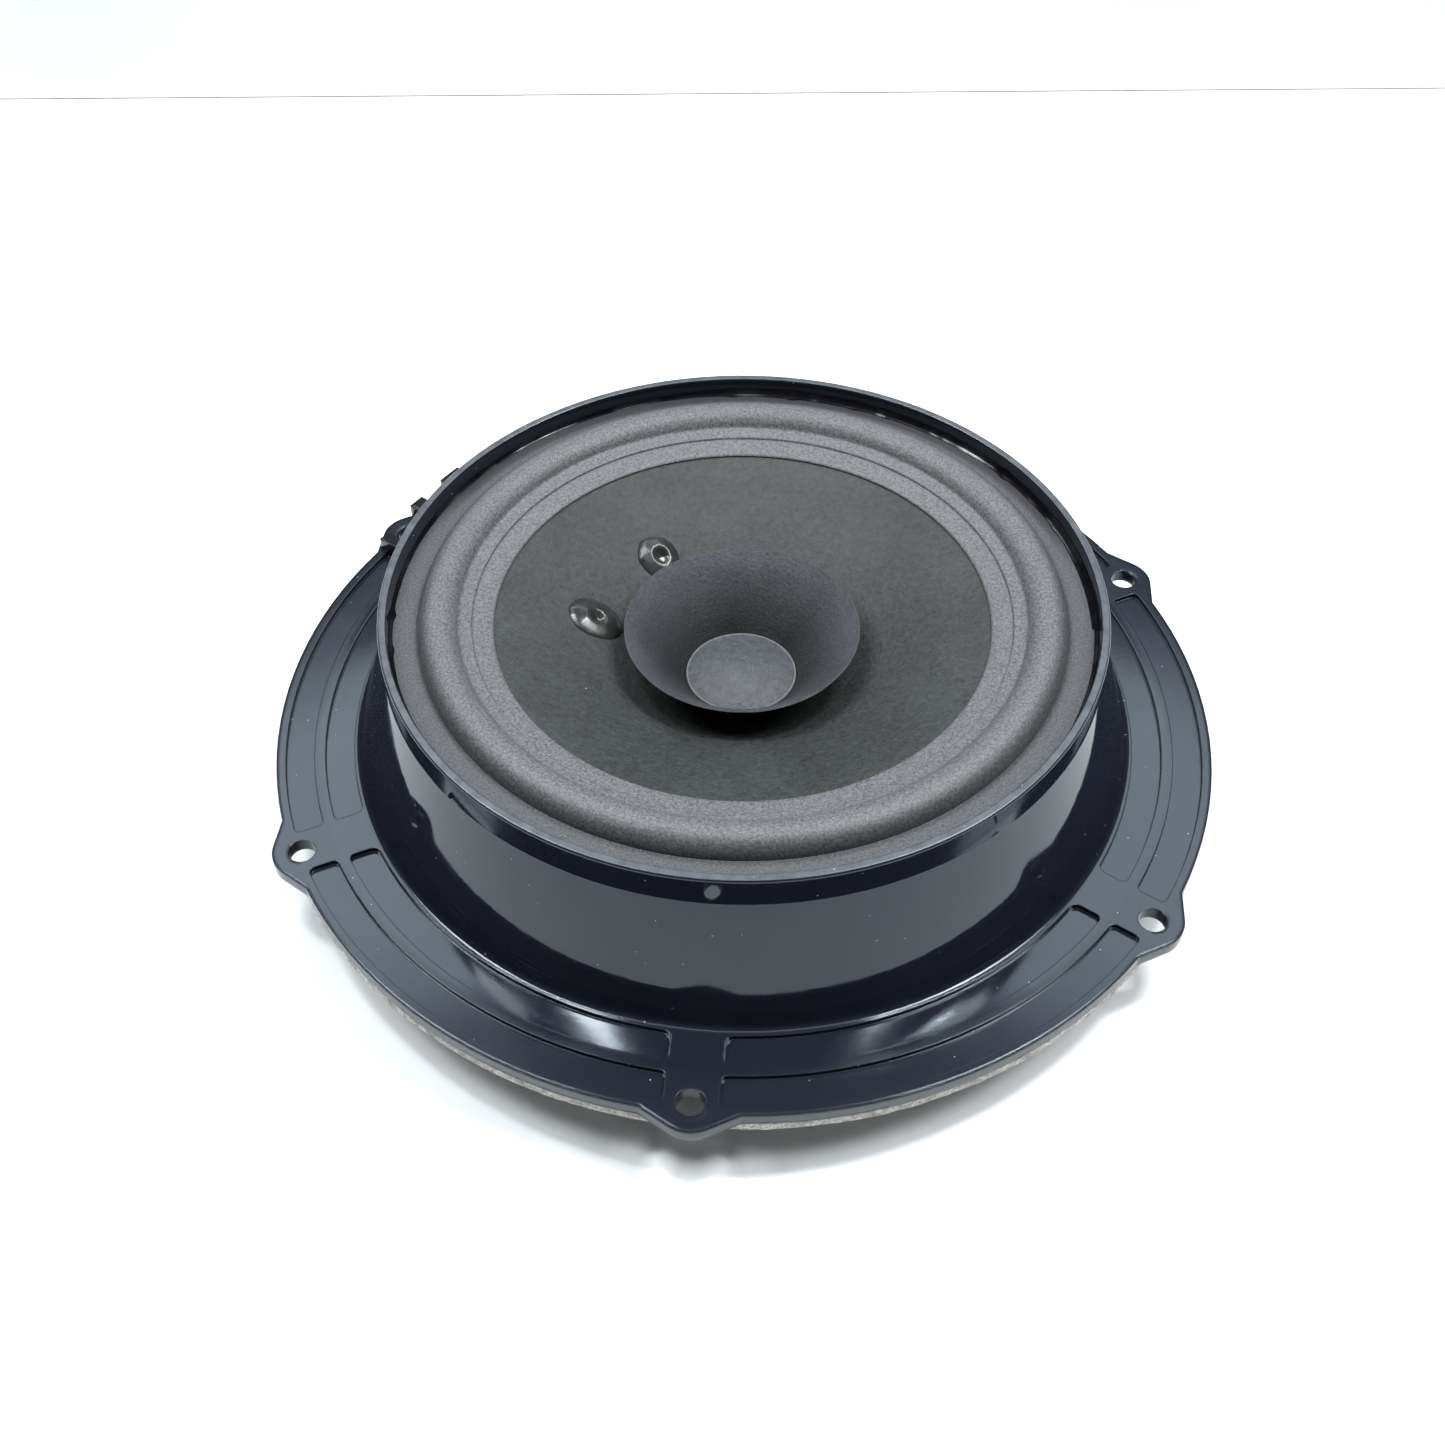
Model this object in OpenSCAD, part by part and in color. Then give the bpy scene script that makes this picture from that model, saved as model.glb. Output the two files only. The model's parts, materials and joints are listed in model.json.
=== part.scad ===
// Car door loudspeaker with a whizzer cone and a raised moulded chassis.
// The origin is the middle of the back plate's rear face, and the cone faces +Z.

/* [Rim] */
// Outer radius of the rim
rim_r = 82; // [70:0.1:95]
// Inner radius of the rim's lip
rim_inner_r = 80; // [70:0.1:90]
// Height of the rim's lip above the back plate
rim_z = 57.3; // [45:0.1:80]
// Height of the upright band under the lip
band_h = 7.6; // [3:0.1:15]
// Inner radius of the ledge that carries the surround
ledge_r = 73.2; // [65:0.1:78]
// Height of the ledge's top face
ledge_z = 52.1; // [40:0.1:75]

/* [Flange] */
// Outer radius of the mounting flange
flange_r = 111.07; // [95:0.01:130]
// Height of the flange's front face
flange_z = 19.6; // [10:0.1:40]
// Thickness of the flange
flange_t = 3.2; // [2:0.1:6]
// Radius of the collar where it meets the flange
collar_r = 91.4; // [84:0.1:100]
// Radius of the circle of screw holes
hole_pcr = 108.65; // [95:0.01:120]
// Radius of each screw hole
hole_r = 3.1; // [2:0.05:5]
// Number of screw tabs
tabs = 6; // [3:1:8]
// Distance from the axis to the tip of a tab
tab_tip = 115.35; // [105:0.01:130]
// Radius of a tab's tip
tab_tip_r = 8; // [4:0.1:12]
// Slope of a tab's flanks
tab_slope = 30; // [15:1:60]
// Radius that blends a tab into the flange's edge
tab_blend_r = 4; // [1:0.1:8]
// Depth of the pockets in the flange
pocket_d = 1.1; // [0.5:0.1:3]
// Half the width of the land beside each hole
land_half = 5.62; // [3:0.01:10]
// Radii of the inner pocket
pocket_a = [92.8, 99.6];
// Radii of the outer pocket
pocket_b = [102.2, 108.9];
// Corner radius of the pockets
pocket_c = 1.3; // [0.5:0.1:3]

/* [Gasket] */
// Thickness of the foam
foam_t = 3.2; // [1:0.1:5]
// Inner radius of the foam ring
foam_inner_r = 94; // [90:0.1:104]
// Radius of the notch in the foam round each screw hole
notch_r = 7; // [4:0.1:10]

/* [Lower basket] */
// Thickness of the basket's floor
floor_t = 2.2; // [1.5:0.1:4]
// Height of the floor's underside
floor_z = 17.5; // [10:0.1:30]
// Inner radius of the floor
floor_r = 19; // [15:0.1:30]
// Number of vent windows
windows = 18; // [6:1:24]
// Radii of the windows
window_r = [58, 78];
// Width of the spoke between two windows
spoke_w = 6; // [3:0.1:12]
// Height of the spider's seat
seat_z = 25; // [20:0.1:35]
// Inner radius of the spider's seat
seat_r = 35.6; // [30:0.1:38]

/* [Surround] */
// Thickness of the surround
surround_t = 0.8; // [0.4:0.05:1.5]
// Centre of the roll's section
roll_c = [68.8, 52.47];
// Radius of the roll's front face
roll_r = 4.73; // [3:0.01:8]

/* [Cone] */
// Thickness of the cone
cone_t = 0.7; // [0.3:0.05:1.5]
// Points along the cone's front face, from the neck outwards
cone_path = [[12.95, 29.6], [18, 32.5], [25, 36.4], [35.5, 41.9], [46, 46.7], [56.5, 50.57], [61.25, 51.67], [62.4, 52.3]];
// Thickness of the whizzer
whizzer_t = 0.5; // [0.3:0.05:1]
// Radius of the glue dots on the cone
dot_pcr = 35.5; // [25:0.1:45]
// Half the angle between the two glue dots
dot_angle = 20.5; // [10:0.1:40]

/* [Voice coil] */
// Inner radius of the coil former
former_r = 12.65; // [10:0.01:20]
// Thickness of the former
former_t = 0.3; // [0.1:0.01:0.5]
// Thickness of the winding
winding_t = 0.45; // [0.2:0.01:1]
// Lowest and highest point of the winding
winding_z = [10, 21];

/* [Motor] */
// Radius of the back plate
back_r = 35; // [25:0.1:50]
// Thickness of the back plate
back_t = 4; // [2:0.1:8]
// Outer radius of the magnet
magnet_r = 36.5; // [25:0.1:55]
// Inner radius of the magnet
magnet_inner_r = 17; // [14:0.1:25]
// Outer radius of the front plate
plate_r = 34; // [25:0.1:50]
// Inner radius of the front plate
plate_inner_r = 14; // [13:0.01:20]
// Thickness of the front plate
plate_t = 4; // [2:0.1:8]
// Radius of the pole piece
pole_r = 12.1; // [8:0.01:16]
// Radius of the vent through the pole piece
vent_r = 4; // [0:0.1:8]
// Radius of the circle of motor screws
screw_pcr = 27; // [20:0.1:32]

/* [Terminals] */
// Direction of the terminal block
terminal_angle = 150; // [0:1:360]
// Offsets of the two blades from the tab's middle line
blade_y = [-16.6, -12.6];
// Height of the blades' underside
blade_z = 22.2; // [20:0.1:26]
// Width of each blade
blade_w = 2.2; // [1:0.1:6.3]
// Thickness of each blade
blade_t = 0.8; // [0.4:0.1:1]

/* [Hidden] */
$fn = 144;
e = 0.01;
flange_bottom = flange_z - flange_t;
plate_z = floor_z - plate_t;
floor_top = floor_z + floor_t;
former_outer = former_r + former_t;
band_z = rim_z - band_h;
dot_z = 41.9;

function at(r, a) = [r * cos(a), r * sin(a)];

module ring(r1, r2) {
  difference() {
    circle(r = r2);
    circle(r = r1);
  }
}

module tube(r1, r2, z1, z2) {
  translate([0, 0, z1]) linear_extrude(z2 - z1) ring(r1, r2);
}

// Part of the plane between two tabs, kept w away from their middle lines
module between(w) {
  a = 180 / tabs;
  far = 200;
  apex = at(w / sin(a), a);
  polygon([apex, apex + [far, 0], apex + 2 * at(far, a), apex + at(far, 2 * a)]);
}

module pocket(radii, c_in, c_out) {
  a = 180 / tabs;
  w = land_half;
  module half(c, r) {
    x = sqrt(r * r - (w + c) * (w + c));
    translate([x, w + c]) circle(r = c);
  }
  intersection() {
    ring(radii[0], radii[1]);
    between(w + max(c_in, c_out));
  }
  intersection() {
    ring(radii[0] + c_in, radii[1] - c_out);
    between(w);
  }
  for (m = [0, 1]) rotate(m * 2 * a) mirror([0, m, 0]) {
    half(c_in, radii[0] + c_in);
    half(c_out, radii[1] - c_out);
  }
}

// Outline of one screw tab, pointing along +X
module tab() {
  cx = tab_tip - tab_tip_r;
  n = at(1, tab_slope);
  p = [cx, 0] + tab_tip_r * n;
  reach = 8.56;
  q = p + reach * [-n[1], n[0]];
  bite = 0.02;
  d = p * n + tab_blend_r - bite;
  big = flange_r + tab_blend_r - bite;
  h = sqrt(big * big - d * d);
  m = d * n + h * [-n[1], n[0]];
  on_edge = m * (flange_r - 0.3) / big;
  on_flank = m - (tab_blend_r + 0.3) * n;
  translate([cx, 0]) circle(r = tab_tip_r);
  for (s = [0, 1]) mirror([0, s, 0]) {
    polygon([p, q, [100, q[1]], [100, -1], [p[0], -1]]);
    difference() {
      polygon([on_flank, on_edge, on_edge - [4, 1], on_flank - [4, 3]]);
      translate(m) circle(r = tab_blend_r);
    }
  }
}

module flange_outline() {
  circle(r = flange_r);
  for (i = [0:tabs - 1]) rotate(30 + i * 360 / tabs) tab();
}

module holes(r) {
  for (i = [0:tabs - 1]) rotate(30 + i * 360 / tabs) translate([hole_pcr, 0]) circle(r = r);
}

// Section of the collar, the rim and the ledge under the surround
module collar_section() {
  polygon([
    [88, floor_z], [92, floor_z], [collar_r, flange_z], [rim_r, band_z],
    [rim_r, rim_z - 0.6], [rim_r - 0.6, rim_z], [rim_inner_r + 0.4, rim_z], [rim_inner_r, rim_z - 0.4],
    [rim_inner_r - 0.5, ledge_z], [ledge_r, ledge_z], [ledge_r, ledge_z - 1.7],
    [78.6, ledge_z - 2.9], [79.4, ledge_z - 4.5], [88.9, floor_top], [88, floor_top]
  ]);
  translate([rim_r - 0.6, rim_z - 0.6]) circle(r = 0.6);
  translate([rim_inner_r + 0.4, rim_z - 0.4]) circle(r = 0.4);
  // Fillet between the collar and the flange
  difference() {
    polygon([[collar_r - 0.8, flange_z - 0.2], [collar_r + 1.1, flange_z - 0.2],
      [collar_r + 1.1, flange_z], [collar_r - 0.25, flange_z + 1], [collar_r - 0.8, flange_z + 1]]);
    translate([collar_r + 0.93, flange_z + 1.2]) circle(r = 1.2);
  }
}

// Space that the collar and its fillet take up
module outer_collar() {
  rotate_extrude() polygon([[0, floor_z], [collar_r + 1.2, floor_z], [collar_r + 1.2, flange_z + 0.3],
    [collar_r - 0.3, flange_z + 1.4], [rim_r, band_z + 0.2], [0, band_z]]);
}

module blade_slots() {
  rotate([0, 0, terminal_angle]) for (y = blade_y)
    translate([80, y - blade_w / 2, blade_z]) cube([24, blade_w, blade_t]);
}

module basket() {
  color([0.05, 0.05, 0.06]) difference() {
    union() {
      rotate_extrude() collar_section();
      translate([0, 0, flange_bottom]) linear_extrude(flange_t) difference() {
        flange_outline();
        circle(r = 87);
        holes(hole_r);
      }
      // Floor with its vent windows
      translate([0, 0, floor_z]) linear_extrude(floor_t) difference() {
        ring(floor_r, 89.5);
        for (i = [0:windows - 1]) rotate(i * 360 / windows) intersection() {
          ring(window_r[0], window_r[1]);
          rotate(180 / windows) polygon([
            at(spoke_w / 2 / sin(180 / windows), 0), at(120, 180 / windows) + [spoke_w * 0.15, -spoke_w / 2],
            at(120, -180 / windows) + [spoke_w * 0.15, spoke_w / 2]]);
        }
      }
      // Ribs under the floor
      for (i = [0:tabs - 1]) rotate([0, 0, i * 360 / tabs])
        translate([38, -1.2, floor_z - 2.2]) cube([51, 2.4, 2.3]);
      // Seat of the spider
      rotate_extrude() polygon([[seat_r, floor_top - e], [41.4, floor_top - e], [41, seat_z + 1],
        [39, seat_z + 1], [39, seat_z], [seat_r, seat_z]]);
    }
    // Pockets in the flange's front face
    for (i = [0:tabs - 1]) rotate([0, 0, 30 + i * 360 / tabs])
      translate([0, 0, flange_z - pocket_d]) linear_extrude(pocket_d + 1) {
        pocket(pocket_a, 2, pocket_c);
        pocket(pocket_b, pocket_c, pocket_c);
      }
    // Screw holes of the motor
    for (i = [0:3]) rotate([0, 0, 45 + i * 90]) translate([screw_pcr, 0, floor_z - 1])
      cylinder(r = 2, h = floor_t + 2);
    blade_slots();
  }
}

module gasket() {
  color([0.42, 0.41, 0.38]) translate([0, 0, flange_bottom - foam_t]) linear_extrude(foam_t)
    difference() {
      ring(foam_inner_r, flange_r - 0.15);
      holes(notch_r);
    }
}

module top_plate() {
  color([0.55, 0.56, 0.58]) difference() {
    tube(plate_inner_r, plate_r, plate_z, floor_z);
    for (i = [0:3]) rotate([0, 0, 45 + i * 90]) translate([screw_pcr, 0, plate_z - 1])
      cylinder(r = 1.8, h = plate_t + 2);
  }
}

module magnet() {
  color([0.16, 0.16, 0.17]) rotate_extrude() polygon([
    [magnet_inner_r, back_t], [magnet_r - 0.6, back_t], [magnet_r, back_t + 0.6],
    [magnet_r, plate_z - 0.6], [magnet_r - 0.6, plate_z], [magnet_inner_r, plate_z]]);
}

module back_plate() {
  color([0.55, 0.56, 0.58]) rotate_extrude() polygon([
    [vent_r + 0.8, 0], [back_r - 1, 0], [back_r, 1], [back_r, back_t], [vent_r, back_t], [vent_r, 0.8]]);
}

module pole_piece() {
  color([0.5, 0.51, 0.53]) rotate_extrude() polygon([
    [vent_r, back_t], [pole_r, back_t], [pole_r, floor_z], [pole_r - 0.5, floor_z + 0.5],
    [vent_r + 0.8, floor_z + 0.5], [vent_r, floor_z - 0.3]]);
}

module motor_screws() {
  color([0.7, 0.7, 0.68]) for (i = [0:3]) rotate([0, 0, 45 + i * 90]) translate([screw_pcr, 0, 0])
    difference() {
      union() {
        translate([0, 0, plate_z + 0.5]) cylinder(r = 1.8, h = floor_top - plate_z);
        translate([0, 0, floor_top]) cylinder(r = 3.4, h = 1.6);
      }
      for (a = [0, 90]) rotate([0, 0, a]) translate([-2, -0.4, floor_top + 0.7]) cube([4, 0.8, 2]);
    }
}

module surround() {
  t = surround_t;
  x1 = roll_c[0];
  z1 = roll_c[1];
  color([0.45, 0.46, 0.47]) rotate_extrude() {
    // Outer flat, glued on the ledge
    polygon([[73.25, ledge_z], [rim_inner_r - 0.75, ledge_z], [rim_inner_r - 0.7, ledge_z + t],
      [73.25, ledge_z + t]]);
    // Half roll
    intersection() {
      translate(roll_c) ring(roll_r - t, roll_r);
      polygon([[62, 60], [75, 60], [75, ledge_z], [x1, ledge_z], [64.65, 53.5], [62, 53.5]]);
    }
    // Inner lip, glued on the cone
    polygon([[56.5, 50.6], [61.25, 51.7], [64.6, 53.584], [65.1, 53.9], [64.43, 54.3],
      [61.25, 52.5], [56.5, 51.4]]);
  }
}

module surround_glue() {
  color([0.03, 0.03, 0.03]) rotate_extrude() polygon([
    [78.2, ledge_z + surround_t], [79.3, ledge_z + surround_t], [79.3, ledge_z],
    [rim_inner_r - 0.5, ledge_z], [rim_inner_r - 0.271, ledge_z + 2.2], [79.2, ledge_z + 1.5]]);
}

module spider() {
  n = 4;
  r1 = 15.2;
  r2 = 35.4;
  steps = 32;
  amp = 1.2;
  z0 = seat_z;
  t = 0.5;
  wave = [for (i = [0:steps]) let (f = i / steps)
    [r1 + (r2 - r1) * f, z0 + amp * sin(360 * n * f)]];
  top = [for (p = wave) p + [0, t]];
  under = [for (i = [steps:-1:0]) wave[i]];
  color([0.75, 0.62, 0.38]) rotate_extrude() polygon(concat(
    [[former_outer, z0 + 1.4], [former_outer + 0.5, z0 + 1.4], [former_outer + 0.6, z0 + t]],
    top, [[38.9, z0 + t], [38.9, z0]], under, [[former_outer, z0]]));
}

module cone_solid(drop) {
  rotate_extrude() polygon(concat(cone_path,
    [for (i = [len(cone_path) - 1:-1:0]) cone_path[i] - [0, drop]]));
}

module on_dots(i) {
  rotate([0, 0, terminal_angle + i * dot_angle]) translate([dot_pcr, 0, dot_z]) children();
}

module cone() {
  color([0.2, 0.21, 0.2]) difference() {
    cone_solid(cone_t);
    for (i = [-1, 1]) on_dots(i) translate([0, 0, -3]) cylinder(r = 0.6, h = 6);
  }
}

module whizzer() {
  t = whizzer_t;
  color([0.22, 0.24, 0.28]) rotate_extrude() polygon([
    [former_outer, 30.2], [former_outer, 30.9], [13.2, 31.2], [19, 38.6], [23.6, 43.6], [26.9, 46.7],
    [27.3, 46.45], [24, 43.25], [19.4, 38.25], [13.65, 30.85], [13.4, 30.2]]);
}

module dust_cap() {
  r = 23.95;
  color([0.42, 0.43, 0.45]) rotate_extrude() {
    intersection() {
      translate([0, 10.75]) ring(r - 0.5, r);
      translate([0, 31]) square([12.3, 5]);
    }
    translate([12.1, 31]) square([0.8, 0.5]);
  }
}

module former() {
  color([0.7, 0.55, 0.3]) tube(former_r, former_outer, winding_z[0] - 0.8, 31);
}

module winding() {
  color([0.72, 0.4, 0.2]) tube(former_outer, former_outer + winding_t, winding_z[0], winding_z[1]);
}

module neck_glue() {
  color([0.05, 0.05, 0.05]) rotate_extrude() polygon([
    [former_outer, 29.6], [16, 31.351], [14.4, 31.815], [13.65, 30.85], [13.4, 30.2], [former_outer, 30.2]]);
}

// Dot of glue over a lead's joint, resting on the cone
module glue_dot(i, r, up) {
  ball = (r * r + up * up) / (2 * up);
  color([0.06, 0.06, 0.06]) difference() {
    on_dots(i) rotate([0, -26, 0]) translate([0, 0, up - ball]) sphere(r = ball);
    cone_solid(20);
    translate([0, 0, -30]) cylinder(r = 60, h = 60);
  }
}

module glue_dot_left() {
  glue_dot(1, 5.4, 1.9);
}

module glue_dot_right() {
  glue_dot(-1, 4.6, 1.9);
}

// Wire tail of the coil, set in glue along the cone
module coil_tail(i, r) {
  a = cone_path[1];
  b = cone_path[2];
  s = atan2(b[1] - a[1], b[0] - a[0]);
  color([0.08, 0.07, 0.06]) difference() {
    rotate([0, 0, terminal_angle + i * dot_angle]) translate([a[0], 0, a[1]]) rotate([0, 90 - s, 0])
      cylinder(r = 0.9, h = r);
    cone_solid(20);
  }
}

module coil_tail_left() {
  coil_tail(1, 13.1);
}

module coil_tail_right() {
  coil_tail(-1, 13.8);
}

module terminal_housing() {
  z = flange_z;
  color([0.06, 0.06, 0.07]) difference() {
    rotate([0, 0, terminal_angle]) difference() {
      union() {
        translate([86, -25.5, z]) cube([17, 34.2, 2.4]);
        translate([86, -21.4, z]) cube([20, 15, 7.9]);
        // Two ears that run out past the flange
        translate([90, -25.5, z]) cube([24, 6.9, 3.4]);
        translate([90, -10.5, z]) cube([23.4, 4.6, 3.4]);
        translate([100, 5.7, z]) cube([10.7, 3, 3.4]);
      }
      // Socket for the plug
      translate([96, -18.6, z + 1.2]) cube([20, 8.1, 5.2]);
      translate([103, -18.6, z - 1]) cube([20, 8.1, 2.4]);
      translate([84, -4.6, z + 1.2]) cube([16.6, 8.2, 4]);
    }
    outer_collar();
    blade_slots();
  }
}

module blade(y) {
  color([0.78, 0.7, 0.5]) rotate([0, 0, terminal_angle]) difference() {
    translate([84, y - blade_w / 2, blade_z]) cube([20, blade_w, blade_t]);
    translate([85.2, y, blade_z - 1]) cylinder(r = 0.5, h = 3);
  }
}

module terminal_left() {
  blade(blade_y[1]);
}

module terminal_right() {
  blade(blade_y[0]);
}

// Flexible lead from the cone to a terminal
module lead(i, y, bend) {
  a = at(dot_pcr, i * dot_angle);
  b = [84.6, y];
  drop = dot_z - 4;
  len = norm(b - a);
  dir = atan2(b[1] - a[1], b[0] - a[0]);
  z2 = blade_z - 0.55;
  chord = norm([len, z2 - drop]);
  h = sqrt(bend * bend - chord * chord / 4);
  nx = (drop - z2) / chord;
  nz = len / chord;
  c = [len / 2 + nx * h, (drop + z2) / 2 + nz * h];
  s1 = atan2(drop - c[1], -c[0]);
  s2 = atan2(z2 - c[1], len - c[0]);
  color([0.7, 0.5, 0.3]) rotate([0, 0, terminal_angle]) translate([a[0], a[1], 0]) {
    translate([0, 0, drop - 0.5]) cylinder(r = 0.55, h = 4);
    rotate([0, 0, dir]) translate([c[0], 0, c[1]]) rotate([90, 0, 0]) rotate([0, 0, s1])
      rotate_extrude(angle = s2 - s1) translate([bend, 0]) circle(r = 0.45);
  }
}

module lead_left() {
  lead(1, blade_y[1], 60);
}

module lead_right() {
  lead(-1, blade_y[0], 60);
}

basket();
gasket();
top_plate();
magnet();
back_plate();
pole_piece();
motor_screws();
surround();
surround_glue();
spider();
cone();
whizzer();
dust_cap();
former();
winding();
neck_glue();
glue_dot_left();
glue_dot_right();
coil_tail_left();
coil_tail_right();
terminal_housing();
terminal_left();
terminal_right();
lead_left();
lead_right();
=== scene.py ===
import json
import math

import bmesh
import bpy
import numpy as np
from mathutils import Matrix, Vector, noise


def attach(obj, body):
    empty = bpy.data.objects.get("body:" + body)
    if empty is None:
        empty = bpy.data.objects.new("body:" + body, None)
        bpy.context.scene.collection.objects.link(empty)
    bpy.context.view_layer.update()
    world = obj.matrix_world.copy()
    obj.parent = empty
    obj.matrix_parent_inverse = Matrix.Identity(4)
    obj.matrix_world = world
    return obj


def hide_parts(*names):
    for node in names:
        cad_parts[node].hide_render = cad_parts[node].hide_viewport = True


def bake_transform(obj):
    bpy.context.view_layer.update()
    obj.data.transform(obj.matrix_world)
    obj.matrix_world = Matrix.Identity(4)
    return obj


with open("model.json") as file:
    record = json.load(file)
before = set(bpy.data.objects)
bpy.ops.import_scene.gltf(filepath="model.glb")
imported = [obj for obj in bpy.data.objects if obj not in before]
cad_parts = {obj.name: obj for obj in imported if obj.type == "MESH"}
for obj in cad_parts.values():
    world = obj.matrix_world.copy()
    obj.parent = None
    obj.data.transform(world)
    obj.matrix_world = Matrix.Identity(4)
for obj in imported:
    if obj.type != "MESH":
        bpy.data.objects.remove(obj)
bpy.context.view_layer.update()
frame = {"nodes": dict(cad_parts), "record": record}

MM = 0.001
TURN = 2 * math.pi
CHASSIS = "chassis"
CONE_BODY = "cone_body"

# Driving dimensions in millimetres and degrees, as in the CAD model
LEDGE_Z = 52.1
ROLL_R = 68.8
ROLL_Z = 52.47
ROLL_RADIUS = 4.73
SURROUND_T = 0.8
CONE_T = 0.7
SPIDER_Z = 25.0
HOLE_R = 108.65
DOT_R = 35.5
TERMINAL_ANGLE = 150.0
DOT_ANGLE = 20.5
BLADE_Y = (-12.6, -16.6)
BLADE_Z = 22.2
CONE_PATH = [(12.95, 29.6), (18, 32.5), (25, 36.4), (35.5, 41.9), (46, 46.7), (56.5, 50.57),
             (61.25, 51.67), (62.4, 52.3)]


# ---------------------------------------------------------------------------
# Small tools
# ---------------------------------------------------------------------------

def smoothstep(low, high, value):
    """0 below low, 1 above high, and a smooth turn between them."""
    t = np.clip((value - low) / (high - low), 0, 1)
    return t * t * (3 - 2 * t)


def wander(angle, scale, seed, depth=2):
    """Smooth noise round a circle, about -1 to 1, the same at both ends."""
    place = Vector((math.cos(angle) * scale, math.sin(angle) * scale, seed))
    return noise.fractal(place, 1.0, 2.0, depth)


def arc(centre, radius, start, end, steps):
    """Points on an arc, with its angles in degrees."""
    angles = np.radians(np.linspace(start, end, steps))
    return [(centre[0] + radius * math.cos(a), centre[1] + radius * math.sin(a)) for a in angles]


def spline(points, steps=6):
    """A smooth path through the points, with some steps between each two."""
    p = np.array(points, float)
    p = np.vstack([2 * p[0] - p[1], p, 2 * p[-1] - p[-2]])
    path = []
    for i in range(1, len(p) - 2):
        for t in np.linspace(0, 1, steps, endpoint=False):
            path.append(0.5 * (2 * p[i] + (p[i + 1] - p[i - 1]) * t
                               + (2 * p[i - 1] - 5 * p[i] + 4 * p[i + 1] - p[i + 2]) * t ** 2
                               + (3 * p[i] - p[i - 1] - 3 * p[i + 1] + p[i + 2]) * t ** 3))
    path.append(p[-2])
    return [tuple(q) for q in path]


def shell(front, thickness):
    """A closed outline: the front path, then the same path set back by the thickness."""
    p = np.array(front, float)
    along = np.gradient(p, axis=0)
    along /= np.linalg.norm(along, axis=1)[:, None]
    normal = np.stack([-along[:, 1], along[:, 0]], axis=1)
    if normal[:, 1].mean() > 0:
        normal = -normal
    back = p + normal * thickness
    return [tuple(q) for q in p] + [tuple(q) for q in back[::-1]]


def mesh_object(name, points, faces, smooth_angle=40):
    """A new object from points in millimetres, with smooth shading below an angle."""
    mesh = bpy.data.meshes.new(name)
    mesh.from_pydata([tuple(c * MM for c in p) for p in points], [], faces)
    made = bmesh.new()
    made.from_mesh(mesh)
    bmesh.ops.remove_doubles(made, verts=made.verts, dist=1e-7)
    bmesh.ops.recalc_face_normals(made, faces=made.faces)
    made.to_mesh(mesh)
    made.free()
    mesh.shade_smooth()
    mesh.set_sharp_from_angle(angle=math.radians(smooth_angle))
    made_object = bpy.data.objects.new(name, mesh)
    bpy.context.scene.collection.objects.link(made_object)
    return made_object


def revolve(name, outline, segments=288, change=None, smooth_angle=40):
    """A ring from an outline of (radius, height). change(points, angle) may move a section."""
    outline = np.array(outline, float)
    count = len(outline)
    points = []
    for i in range(segments):
        angle = TURN * i / segments
        section = change(outline.copy(), angle) if change else outline
        points += [(r * math.cos(angle), r * math.sin(angle), z) for r, z in section]
    faces = []
    for i in range(segments):
        a, b = i * count, (i + 1) % segments * count
        for j in range(count):
            k = (j + 1) % count
            faces.append((a + j, b + j, b + k, a + k))
    return mesh_object(name, points, faces, smooth_angle)


def tube_faces(rows, count):
    """Faces of a capped tube: rows of count points each, one row after another."""
    faces = []
    for i in range(rows - 1):
        for j in range(count):
            k = (j + 1) % count
            faces.append((i * count + j, i * count + k, (i + 1) * count + k, (i + 1) * count + j))
    faces.append(tuple(range(count)))
    faces.append(tuple((rows - 1) * count + j for j in reversed(range(count))))
    return faces


def heightfield(name, rings, segments, top, bottom, centre):
    """A closed mound: top(rho, theta) and bottom(x, y) give its points. rho runs from 0 to 1."""
    points, faces = [], []
    for i in range(rings + 1):
        for j in range(segments):
            points.append(top(i / rings, TURN * j / segments))
    for i in range(rings):
        for j in range(segments):
            k = (j + 1) % segments
            faces.append((i * segments + j, (i + 1) * segments + j, (i + 1) * segments + k,
                          i * segments + k))
    first = len(points)
    points += [bottom(*points[rings * segments + j][:2]) for j in range(segments)]
    points.append(bottom(*centre))
    for j in range(segments):
        k = (j + 1) % segments
        faces.append((rings * segments + j, first + j, first + k, rings * segments + k))
        faces.append((first + j, first + segments, first + k))
    return mesh_object(name, points, faces, 60)


def blend_round(piece):
    """Bakes the piece's placement into its points."""
    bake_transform(piece)


# ---------------------------------------------------------------------------
# Materials
# ---------------------------------------------------------------------------

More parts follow.
